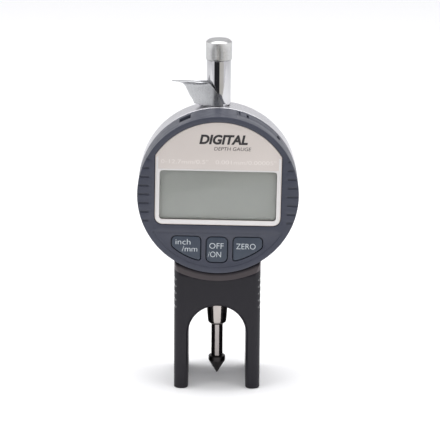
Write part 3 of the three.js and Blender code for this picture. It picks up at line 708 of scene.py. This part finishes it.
def build_clamp_screw():
    front, back = depth_of("clamp_screw")
    low, high = box_mm("clamp_screw")
    radius, hex_r = (high.x - low.x) / 2, 1.15
    place = Matrix.Translation((0, PLUNGER_Y, sum(height_of("clamp_screw")) / 2))
    corners = [(0, front), (radius - 0.4, front), (radius, front + 0.4, 0.1)]
    corners += [(radius, back, 0.35), (0, back)]
    screw = turned("clamp_screw_body", corners, "Y", 48, place)
    sixths = [k * math.pi / 3 for k in range(6)]
    hexagon = [(hex_r * math.cos(a), hex_r * math.sin(a)) for a in sixths]
    combined(screw, plate("socket", hexagon, back - 1.8, back + 1, place=place))
    finished(screw, TIP, "base_and_case", "blackened_steel", "clamp_screw")


build_base()
build_clamp_screw()


# ---- rear case ---------------------------------------------------------------------------


def build_case():
    front, back = depth_of("case_body")
    seat_r, seat = radius_of("back_cover") + 0.25, depth_of("back_cover")[0] - 0.1
    inner_r, bore_r, wall = 27, 9, 1.2
    corners = [
        (bore_r, front), (DIAL_R, front, 0.35), (DIAL_R, back, 0.7), (seat_r, back, 0.2),
        (seat_r, seat), (inner_r, seat), (inner_r, front + wall), (bore_r, front + wall),
    ]
    case = turned("case_shell", corners, "Y", 192, ON_DIAL)
    combined(case, cylinder(4.3, 44, 54, 48))
    combined(case, cylinder(4.2, 102, 112, 48))
    finished(case, CASE, "base_and_case", "case_silver", "case_body")


def cross_screw(name, place, radius, front, back, recess):
    """A countersunk screw head with a cross recess."""
    corners = [(0, front), (0.8, front), (0.8, back - 1.1), (radius, back - 0.35, 0.1)]
    corners += [(radius, back, 0.2), (radius * 0.5, back + 0.04), (0, back + 0.05)]
    screw = turned(name, corners, "Y", 40, place)
    arm, half = radius * 0.55, 0.22
    for x, z in (((-arm, arm), (-half, half)), ((-half, half), (-arm, arm))):
        combined(screw, cuboid("recess", x, (back - recess, back + 1), z, place))
    return screw


def build_back():
    front, back = depth_of("back_cover")
    radius, level, groove = radius_of("back_cover"), back - 0.05, back - 0.3
    corners = [(0, front), (radius, front), (radius, level, 0.3)]
    corners += [(radius - 1.6, level, 0.2), (radius - 1.9, groove, 0.15)]
    corners += [(radius - 2.3, groove, 0.15), (radius - 2.6, level, 0.2), (0, level)]
    cover = turned("back_plate", corners, "Y", 160, ON_DIAL)
    for i in range(4):
        node = f"back_cover_screw_{i + 1}"
        low, high = box_mm(node)
        middle = (low + high) / 2
        place = Matrix.Translation((middle.x, PLUNGER_Y, middle.z))
        sink = [(0, front - 1), (1, front - 1), (1, back - 1), (2, back), (2, back + 1), (0, back + 1)]
        combined(cover, turned("sink", sink, "Y", 40, place))
        screw = cross_screw(f"cover_screw_head_{i + 1}", place, 1.6, low.y - PLUNGER_Y, back - 0.15, 0.5)
        finished(screw, STEEL, "base_and_case", "screw_steel", node)
    finished(cover, COVER, "base_and_case", "cover_silver", "back_cover")


build_case()
build_back()


# ---- stem, tube, cap and plunger ---------------------------------------------------------


def build_stem():
    low, high = height_of("stem")
    radius, nose, bore, wide_bore = 4.05, 3.6, 2.35, 3.3
    corners = [
        (bore, low), (bore + 0.25, low, 0.08), (nose - 0.15, low + 0.75, 0.3),
        (nose, low + 1.6, 0.3), (radius, low + 7.9, 1), (radius, high, 0.2), (wide_bore, high),
        (wide_bore, low + 5), (bore, low + 4),
    ]
    finished(turned("stem_sleeve", corners), STEM_STEEL, "base_and_case", "chrome", "stem")


def build_tube():
    low, high = height_of("top_tube")
    radius, shoulder, end = radius_of("top_tube"), DIAL_Z + DIAL_R + 0.2, high + 0.15
    bore, root = 3.4, 3.9
    corners = [
        (bore, low), (root, low), (root, shoulder), (radius, shoulder, 0.15), (radius, end, 0.1),
        (bore, end),
    ]
    finished(turned("tube_sleeve", corners), CHROME, "base_and_case", "chrome", "top_tube")


def build_cap():
    """A cap with a fine straight knurl between two chamfers."""
    low, high = height_of("knurled_cap")
    radius, tall = radius_of("knurled_cap"), high - low
    teeth, tooth_depth, points_a_tooth = 60, 0.07, 6
    chamfer, foot = 0.85, 0.12
    heights = [0, foot, 0.3, 0.45, 0.7, 2, 4, tall - chamfer - 0.25, tall - chamfer]
    profile = []
    for h in heights:
        edge = smooth_step(h, 0.1, 0.6) * (1 - smooth_step(h, heights[-2] - 0.1, heights[-1]))
        base = radius - foot * (1 - smooth_step(h, 0, foot))
        profile.append((base, h, edge))
    profile += [(radius - 0.1, heights[-1] + 0.12, 0), (radius - chamfer, tall - 0.12, 0)]
    profile += [(radius - chamfer - 0.25, tall, 0), (1.2, tall, 0)]
    count = teeth * points_a_tooth
    rings = []
    for base, h, edge in profile:
        ring = []
        for k in range(count):
            phase = abs((k / points_a_tooth) % 1 - 0.5) * 2
            r = base - tooth_depth * edge * phase
            angle = 2 * math.pi * k / count
            ring.append((r * math.cos(angle), r * math.sin(angle), low + h))
        rings.append(ring)
    cap = stacked("cap_knurled", rings)
    combined(cap, cylinder(3.4, low - 1, high - 1.6, 48))
    finished(cap, KNURL, "base_and_case", "knurled_chrome", "knurled_cap", smooth=25)


def build_plunger():
    low, high = height_of("spindle")
    rod_r, socket_r, neck_r = 2.2, 1.4, 1.2
    rod = turned("spindle_rod", [(0, low), (rod_r, low, 0.1), (rod_r, high, 0.3), (0, high)])
    combined(rod, cylinder(socket_r, low - 1, low + 5, 32))
    finished(rod, SPINDLE_STEEL, "plunger", "chrome", "spindle")

    point, top = height_of("contact_point")
    radius = radius_of("contact_point")
    shoulder, neck = point + 5.2, point + 7.1
    corners = [
        (0, point), (0.12, point + 0.02), (radius, shoulder, 0.25), (radius, neck, 0.35),
        (neck_r, neck, 0.1), (neck_r, top, 0.2), (0, top),
    ]
    tip = turned("contact_cone", corners)
    finished(tip, TIP, "plunger", "blackened_steel", "contact_point")


build_stem()
build_tube()
build_cap()
build_plunger()


# ---- lift lever --------------------------------------------------------------------------

LEVER_LOW, LEVER_HIGH = box_mm("lift_lever")
PIN_LOW, PIN_HIGH = box_mm("lever_pivot_pin")
PIVOT = ((PIN_LOW.x + PIN_HIGH.x) / 2, (PIN_LOW.z + PIN_HIGH.z) / 2)
LEVER_HUG = (LEVER_HIGH.y - LEVER_LOW.y) / 2
LEVER_SHEET = 0.26
# Rim heights against the way round: 0 at the front right edge, 0.5 at the thumb tip, 1 at the back.
LEVER_RIM = [(0, 117.15), (0.08, 117.0), (0.16, 116.9), (0.25, 116.85), (0.38, 116.85), (0.5, 116.9)]
LEVER_RIM += [(0.7, 116.5), (0.85, 116.2), (1, 116)]
LEVER_RIGHT, LEVER_SIDE, LEVER_NOSE = (1.9, -2.6), (-9.4, -13.6), (2.2, 0.9)
LEVER_TIP, LEVER_FLARE = LEVER_LOW.x, 20
WEB_GAP = (-1.1, 1.1)


def blended(ends, t):
    return ends[0] + (ends[1] - ends[0]) * t


def rim_height(along):
    for (start, low), (end, high) in zip(LEVER_RIM, LEVER_RIM[1:]):
        if along <= end:
            return blended((low, high), (along - start) / (end - start))
    return LEVER_RIM[-1][1]


def lever_point(along, row):
    """A point of the bent sheet's outer surface, on a row from 0 at its bottom to 1 at its rim.

    The sheet hugs the tube at the right, and its two sides close on a nose that flares out at
    the top into the thumb tip.
    """
    height = 1 - (1 - row) ** 2
    z = blended((LEVER_LOW.z, rim_height(along)), height)
    left = blended(LEVER_SIDE, height) + (LEVER_TIP - LEVER_SIDE[1]) * height**LEVER_FLARE
    nose = blended(LEVER_NOSE, height)
    slope = math.asin((LEVER_HUG - nose) / (-left - nose))
    side = 1 if along > 0.5 else -1
    centre = left + nose
    t, turn = 1 - abs(along - 0.5) * 2, 0.7
    if t > turn:
        angle = blended((slope, math.pi / 2), (t - turn) / (1 - turn))
        return Vector((centre - nose * math.sin(angle), side * nose * math.cos(angle), z))
    hug_end, line_end = -LEVER_HUG * math.sin(slope), centre - nose * math.sin(slope)
    right = blended(LEVER_RIGHT, height) - 1.4 * height**6
    x = blended((right, line_end), t / turn)
    if x > hug_end:
        return Vector((x, side * math.sqrt(LEVER_HUG**2 - x * x), z))
    share = (x - hug_end) / (line_end - hug_end)
    return Vector((x, side * math.cos(slope) * blended((LEVER_HUG, nose), share), z))


def lever_inner_point(along, row):
    """The same point moved through the sheet's thickness."""
    step, rise = 0.004, 0.03
    around = lever_point(min(along + step, 1), row) - lever_point(max(along - step, 0), row)
    up = lever_point(along, min(row + rise, 1)) - lever_point(along, max(row - rise, 0))
    return lever_point(along, row) + around.cross(up).normalized() * LEVER_SHEET


def sheet_faces(columns, rows):
    """Faces of a sheet whose outer points are followed by its inner points, row by row."""
    across = columns + 1
    layer = across * (rows + 1)
    faces = []
    for j in range(rows):
        for i in range(columns):
            a = j * across + i
            faces.append((a, a + 1, a + across + 1, a + across))
            faces.append((layer + a, layer + a + across, layer + a + across + 1, layer + a + 1))
    for i in range(columns):
        top = rows * across + i
        faces.append((i, layer + i, layer + i + 1, i + 1))
        faces.append((top, top + 1, layer + top + 1, layer + top))
    for j in range(rows):
        left, right = j * across, j * across + columns
        faces.append((left, left + across, layer + left + across, layer + left))
        faces.append((right, layer + right, layer + right + across, right + across))
    return faces


def build_lever():
    columns, rows = 96, 32
    points = []
    for surface in (lever_point, lever_inner_point):
        for j in range(rows + 1):
            for i in range(columns + 1):
                points.append(surface(i / columns, j / rows))
    lever = make("lever_sheet", points, sheet_faces(columns, rows), ON_AXIS)
    pivot_x, pivot_z = PIVOT
    combined(lever, cuboid("web_gap", (-30, pivot_x + 1), WEB_GAP, (100, pivot_z + 0.3)))
    softened(lever, 0.04, 1, 60)
    finished(lever, SHEET, "lever", "lever_sheet", "lift_lever", smooth=35)

    half, pin_r = PIN_HIGH.y - PLUNGER_Y - 0.3, 0.6
    corners = [(0, -half), (pin_r, -half, 0.2), (pin_r, half, 0.2), (0, half)]
    pin = turned("lever_pin", corners, "Y", 32, Matrix.Translation((pivot_x, PLUNGER_Y, pivot_z)))
    finished(pin, STEEL, "base_and_case", "chrome", "lever_pivot_pin")


def build_bracket():
    pivot_x, pivot_z = PIVOT
    front, back = depth_of("lever_bracket")
    bottom = height_of("lever_bracket")[0]
    outline = [(pivot_x - 0.9, bottom + 0.1), (pivot_x + 0.9, bottom + 0.1)]
    outline += [
        (pivot_x + 1.35 * math.cos(a), pivot_z + 1.35 * math.sin(a))
        for a in [math.radians(-48 + 276 * k / 24) for k in range(25)]
    ]
    bracket = plate("bracket_lug", outline, front, back, 0.2, ON_AXIS)
    pin_place = Matrix.Translation((pivot_x, PLUNGER_Y, pivot_z))
    combined(bracket, cylinder(0.7, -8, 8, 32, "Y", pin_place))
    finished(bracket, CASE, "base_and_case", "case_silver", "lever_bracket")


build_lever()
build_bracket()


# ---- face: housing, panel and display ----------------------------------------------------

FACE_FRONT, FACE_BACK = depth_of("front_housing")
PANEL_FRONT, PANEL_BACK = depth_of("display_panel")
PANEL_HALF, PANEL_TOP_R, PANEL_BOTTOM = 23.4, 27.8, -11.35
WINDOW = {"half": 21.7, "top": 9.35, "bottom": -9.45, "corner": 1.36}
KEY_FIELD_R = 26.0
RIB_COUNT, RIB_PITCH, RIB_LOWEST, RIB_INNER = 8, 3.35, -10.05, 25.7
DRAWER_ANGLE, PORT_ANGLE = math.radians(29.9), math.radians(-25.4)
NAIL_SLOT_Y, PORT_GAP_Y = (-14.2, -10.8), (-15.4, -9.9)
KEY_EDGE, KEY_FLANGE, FLANGE_THICK, KEY_GAP = 0.35, 0.7, 0.3, 0.32
HOUSING_WALL, HOUSING_INNER_R, HOUSING_SEAT_R = 2.5, 27.8, 25.5


def arc(radius, start, end, steps):
    """Points on a circle about the dial's centre, with angles in degrees left of +X."""
    angles = [math.radians(start + (end - start) * k / steps) for k in range(steps + 1)]
    return [(radius * math.cos(a), radius * math.sin(a)) for a in angles]


def panel_outline():
    start = math.degrees(math.acos(PANEL_HALF / PANEL_TOP_R))
    corners = [(PANEL_HALF, PANEL_BOTTOM, 3.4)]
    corners += arc(PANEL_TOP_R, start, 180 - start, 60)
    corners += [(-PANEL_HALF, PANEL_BOTTOM, 3.4)]
    return filleted(corners, 8)


def rounded_rectangle(half, low, high, corner):
    sides = [(-half, low), (half, low), (half, high), (-half, high)]
    return filleted([(*side, corner) for side in sides], 6)


def window_outline(grow=0.0):
    low, high = WINDOW["bottom"] - grow, WINDOW["top"] + grow
    return rounded_rectangle(WINDOW["half"] + grow, low, high, WINDOW["corner"])


def key_outline(name):
    if name == "power_key":
        return rounded_rectangle(3.9, -25.75, -16.05, 2.2)
    inner, outer, top = 6.1, 16.9, -15.95
    low_start = math.degrees(math.atan2(-24.75, 8.0))
    low_end = -math.degrees(math.acos(15.9 / KEY_FIELD_R))
    corners = [(inner, top, 1.8), (inner, -25.1, 2.0)]
    corners += arc(KEY_FIELD_R, low_start, low_end, 10)
    corners += [(outer, -19.65, 2.6), (outer, top, 2.8)]
    outline = filleted(corners, 6)
    return outline if name == "zero_key" else [(-u, v) for u, v in reversed(outline)]


def at_dial_angle(angle):
    """A place whose +Z runs out along a radius at an angle right of the dial's top."""
    return ON_FACE @ Matrix.Rotation(angle, 4, "Y")


def rib_cutters():
    """The grip grooves at both sides of the face."""
    bars = []
    for i in range(RIB_COUNT):
        z = RIB_LOWEST + i * RIB_PITCH
        for side in (-1, 1):
            reach = sorted((side * RIB_INNER, side * (DIAL_R + 1)))
            before, floor = FACE_FRONT - 1, FACE_FRONT + 0.45
            section = [(before, z - 0.62), (before, z + 0.62), (floor, z + 0.28)]
            section += [(floor + 0.05, z), (floor, z - 0.28)]
            rings = [[(x, y, v) for y, v in section] for x in reach]
            bars.append(stacked("rib", rings, ON_FACE))
    return joined("ribs", bars)


def build_housing():
    before, inside, seat = FACE_FRONT - 1, FACE_FRONT + 4, FACE_BACK - 1
    corners = [(0, FACE_FRONT), (DIAL_R, FACE_FRONT, 0.28), (DIAL_R, FACE_BACK, 0.25)]
    corners += [(HOUSING_SEAT_R, FACE_BACK), (HOUSING_SEAT_R, seat), (HOUSING_INNER_R, seat)]
    corners += [(HOUSING_INNER_R, FACE_FRONT + HOUSING_WALL), (0, FACE_FRONT + HOUSING_WALL)]
    housing = turned("housing_shell", corners, "Y", 256, ON_FACE, steps=6)
    combined(housing, plate("recess", grown(panel_outline(), 0.22), before, PANEL_BACK + 0.25))
    combined(housing, plate("window", window_outline(0.25), before, inside))
    field = filleted(arc(27.9, -149.5, -30.5, 60), 1)
    combined(housing, plate("key_field", field, before, FACE_FRONT + 0.22))
    for name in ("unit_key", "power_key", "zero_key"):
        combined(housing, plate("key_hole", grown(key_outline(name), KEY_GAP), before, inside))
    combined(housing, rib_cutters())
    place = at_dial_angle(DRAWER_ANGLE)
    combined(housing, cuboid("drawer_gap", (-9.1, 9.1), (-14.8, -8.9), (13, 36), place))
    combined(housing, cuboid("nail_slot", (9, 9.9), NAIL_SLOT_Y, (26.6, 33), place))
    port_place = at_dial_angle(PORT_ANGLE)
    combined(housing, cuboid("port_gap", (-2.3, 2.3), PORT_GAP_Y, (26, 36), port_place))
    softened(housing, 0.12, 2, 40)
    finished(housing, PLASTIC, "face", "housing_plastic", "front_housing", smooth=32)


def ring_plate(name, outer, inner, front, back, edge):
    """A flat frame between two outlines, made by cutting one plate with another."""
    whole = plate(name, outer, front, back, edge)
    return combined(whole, plate("hole", inner, front - 1, back + 1))


def build_panel():
    panel = ring_plate("panel_plate", panel_outline(), window_outline(), PANEL_FRONT, PANEL_BACK, 0.15)
    finished(panel, PANEL, "face", "panel_silver", "display_panel")
    # A raised pale rim runs round the window's sides and bottom and fades out under its top.
    right = [(23.1, -11.05, 2.9), (23.1, 14.3, 0.4), (22.3, 14.7, 0.3), (22.3, 9.9, 0.3)]
    left = [(-u, v, fillet) for u, v, fillet in reversed(right)]
    outer = filleted(right + left, 6)
    front, back = PANEL_FRONT - 0.07, PANEL_FRONT + 0.1
    rim = ring_plate("panel_rim", outer, window_outline(0.02), front, back, 0.05)
    finished(rim, RIM, "face", "panel_silver")
    lens = plate("lens_plate", window_outline(-0.06), *depth_of("window_lens"), 0.04)
    finished(lens, LENS, "face", "lens_clear", "window_lens")
    lcd = plate("lcd_plate", window_outline(-0.06), *depth_of("lcd_module"), 0.1)
    finished(lcd, LCD, "face", "lcd_glass", "lcd_module")


def lettering(name, body, cap_height, span, bottom, depth, material, ride, shear=0.0, bold=0.0):
    """A word as thin raised print, fitted between two sides and standing on a line."""
    left, right = span
    curve = bpy.data.curves.new(name, "FONT")
    curve.body = body
    curve.size = 1
    curve.extrude = 0.01
    curve.offset = bold
    curve.shear = shear
    curve.resolution_u = 6
    source = bpy.data.objects.new(name, curve)
    bpy.context.scene.collection.objects.link(source)
    bpy.context.view_layer.update()
    flat = bpy.data.meshes.new_from_object(source.evaluated_get(bpy.context.evaluated_depsgraph_get()))
    bpy.data.objects.remove(source)
    across = [v.co.x for v in flat.vertices]
    low_x, capital = min(across), 0.7
    wide, tall = (right - left) / (max(across) - low_x), cap_height / capital
    for v in flat.vertices:
        u = left + (v.co.x - low_x) * wide
        w = bottom + v.co.y * tall
        y = depth - 0.02 if v.co.z > 0 else depth + 0.02
        v.co = (ON_FACE @ Vector((u, y, w))) * MM
    obj = bpy.data.objects.new(name, flat)
    bpy.context.scene.collection.objects.link(obj)
    face_outwards(obj)
    slot = "key_plastic" if "button" in ride else "panel_silver"
    return finished(obj, material, ride, slot)


def build_print():
    front, scale = PANEL_FRONT, "0-12.7mm/0.5\"   0.001mm/0.00005\""
    lettering("title_print", "DIGITAL", 3.3, (-7.3, 10.6), 19.75, front, INK_DARK, "face", 0.2, 0.045)
    lettering("subtitle_print", "DEPTH GAUGE", 1.35, (-1.8, 11.9), 17.25, front, INK_DARK, "face", 0.15)
    lettering("range_print", scale, 1.5, (-21.3, 21.3), 12.05, front, INK_PALE, "face")


# Each key label: its piece, word, left and right side, the line it stands on and its body.
KEY_LABELS = [
    ("unit_print_1", "inch", (-15.4, -9.9), -19.05, "unit_button"),
    ("unit_print_2", "/mm", (-13.0, -7.3), -21.75, "unit_button"),
    ("power_print_1", "OFF", (-2.8, 2.5), -20.45, "power_button"),
    ("power_print_2", "/ON", (-3.3, 1.6), -23.75, "power_button"),
    ("zero_print", "ZERO", (7.2, 14.4), -20.45, "zero_button"),
]
LABEL_HEIGHT, LABEL_BOLD = 2.2, -0.012


def build_keys():
    for key in ("unit", "power", "zero"):
        name = f"{key}_key"
        front, back = depth_of(name)
        cap = plate(f"{name}_cap", key_outline(name), front, back - FLANGE_THICK, KEY_EDGE)
        flange = plate("flange", grown(key_outline(name), KEY_FLANGE), back - FLANGE_THICK, back)
        finished(combined(cap, flange, "UNION"), KEY_PLASTIC, f"{key}_button", "key_plastic", name)
    front = depth_of("power_key")[0]
    for name, word, span, line, ride in KEY_LABELS:
        lettering(name, word, LABEL_HEIGHT, span, line, front, INK_WHITE, ride, bold=LABEL_BOLD)


def build_drawer():
    """The battery drawer: a frame round the cell, whose end follows the housing's rim."""
    place = at_dial_angle(DRAWER_ANGLE)
    front, back = depth_of("battery_drawer")
    half, inner_end, cell_z = 8.9, 14, 21.2
    rim = [half - 2 * half * k / 40 for k in range(41)]
    outline = [(-half, inner_end, 1.2), (half, inner_end, 1.2)]
    outline += [(u, math.sqrt(DIAL_R**2 - u * u) - 0.02) for u in rim]
    drawer = plate("drawer_frame", filleted(outline, 5), front, back, 0.2, place)
    lifted = place @ Matrix.Translation((0, 0, cell_z))
    combined(drawer, cylinder(6.1, -16, -8, 80, "Y", lifted))
    combined(drawer, cuboid("nail_slot", (8.2, 9.2), NAIL_SLOT_Y, (26.6, 33), place))
    for x, y, depth in (((-5.4, -4.5), (-14.4, -9.8), 1.1), ((-8.45, -7.75), (-20, -5), 1.5)):
        combined(drawer, cuboid("mark", x, y, (DIAL_R - depth, DIAL_R + 1), place))
    finished(drawer, PLASTIC, "drawer", "housing_plastic", "battery_drawer")

    front, back = depth_of("coin_cell")
    corners = [(0, front), (4.9, front, 0.15), (5.0, front + 0.5), (5.5, front + 0.55, 0.3)]
    corners += [(5.8, front + 1, 0.3), (5.8, back, 0.4), (0, back)]
    cell = turned("cell_can", corners, "Y", 80, lifted)
    finished(cell, STEEL, "drawer", "cell_steel", "coin_cell")


def build_port():
    """The data socket: a dark shell with a row of small contacts at the back of its mouth."""
    place = at_dial_angle(PORT_ANGLE)
    shell = cuboid("port_shell", (-3.1, 3.1), (-14.6, -9.6), (20.5, 26.7), place)
    combined(shell, cuboid("mouth", (-1.8, 1.8), (-14.1, -10.5), (22.5, 30), place))
    softened(shell, 0.1, 2, 40)
    finished(shell, DARK, "face", "dark_plastic", "data_port_socket")
    first, pitch, wide = -13.6, 0.8, 0.35
    fronts = [first + pitch * k for k in range(4)]
    pins = [cuboid("pin", (-0.2, 0.2), (y, y + wide), (22.3, 25.6), place) for y in fronts]
    finished(joined("port_pins", pins), BRASS, "face", "brass")


build_housing()
build_panel()
build_print()
build_keys()
build_drawer()
build_port()


# ---- the frame's own inner pieces --------------------------------------------------------

NUMBERS = (1, 2, 3)
INNER = [
    (BRASS, ["clamp_pad", "lower_bush", "upper_bush", "lifting_collar"]),
    (BRASS, ["battery_contact_end", "battery_contact_side"]),
    (STEEL, ["retaining_ring", "return_spring"]),
    (STEEL, [f"{kind}_{n}" for kind in ("ring_screw", "board_screw", "key_dome") for n in NUMBERS]),
    (CHROME, ["guide_rod", "spring_anchor"]),
    (BOARD, ["sensor_board", "scale_plate", "main_board"]),
    (DARK, ["scale_carrier", "lcd_backer", "processor_chip"]),
    (ELASTOMER, ["zebra_strip_1", "zebra_strip_2", "keypad_membrane"]),
]

for material, nodes in INNER:
    for node in nodes:
        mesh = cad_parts[node].data
        mesh.materials.clear()
        mesh.materials.append(material)
